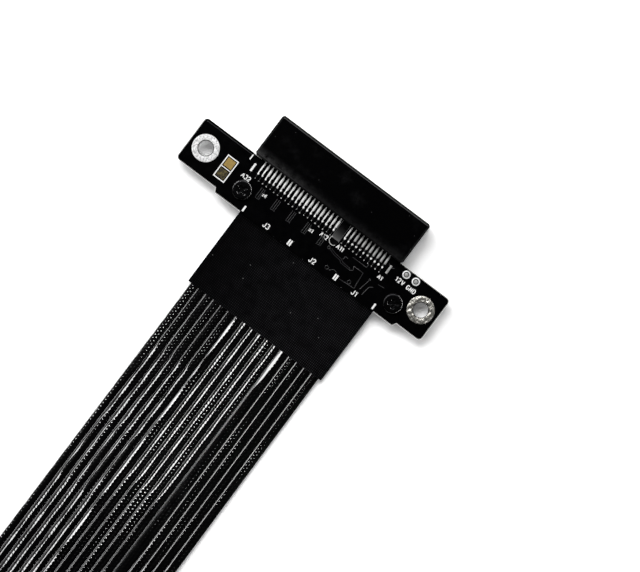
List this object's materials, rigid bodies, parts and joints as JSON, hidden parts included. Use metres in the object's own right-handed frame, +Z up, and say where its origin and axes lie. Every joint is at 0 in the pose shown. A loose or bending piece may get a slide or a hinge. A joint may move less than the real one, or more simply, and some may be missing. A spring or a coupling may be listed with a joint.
{
  "type": "pcie extension cable",
  "caption": "Flat extension cable for a card slot: a straddle-mount slot on a small eared board, flat ribbons with woven tape sleeves, and a keyed edge plug.",
  "frame": {"origin": "under the middle of the slot end, on the surface that it lies on", "axes": "+X along the contact row towards contact 1, +Y out of the slot's mouth, +Z up"},
  "size_m": [0.0648, 0.1922, 0.0075],
  "materials": {
    "solder_mask": "black solder mask over glass-epoxy board",
    "housing_black": "moulded black, semi-gloss with faint smudges",
    "contact_metal": "tin-plated spring contact",
    "solder_tin": "hot-dipped solder, slightly uneven",
    "pad_gold": "thin gold plating",
    "clamp_plastic": "moulded black",
    "screw_black": "black oxide, semi-gloss",
    "ribbon_film": "black film, ribbed along its length",
    "woven_tape": "fine black weave"
  },
  "bodies": {
    "root": {"slot_board": "solder_mask", "slot_housing": "housing_black", "contacts_row_a": "contact_metal", "contacts_row_b": "contact_metal", "ear_plating_left": "solder_tin", "ear_plating_right": "solder_tin", "wire_pad_power": "solder_tin", "wire_pad_ground": "solder_tin", "jumper_pads": "pad_gold", "slot_clamp": "clamp_plastic", "slot_clamp_screws": "screw_black", "slot_sleeve": "woven_tape", "plug_board": "solder_mask", "plug_fingers_a": "pad_gold", "plug_fingers_b": "pad_gold", "plug_cover": "clamp_plastic", "plug_sleeve": "woven_tape", "ribbon_j1": "ribbon_film", "slot_tails_j1": "solder_tin", "plug_tails_j1": "solder_tin", "ribbon_j2": "ribbon_film", "slot_tails_j2": "solder_tin", "plug_tails_j2": "solder_tin", "ribbon_j3": "ribbon_film", "slot_tails_j3": "solder_tin", "plug_tails_j3": "solder_tin"}
  },
  "joints": []
}
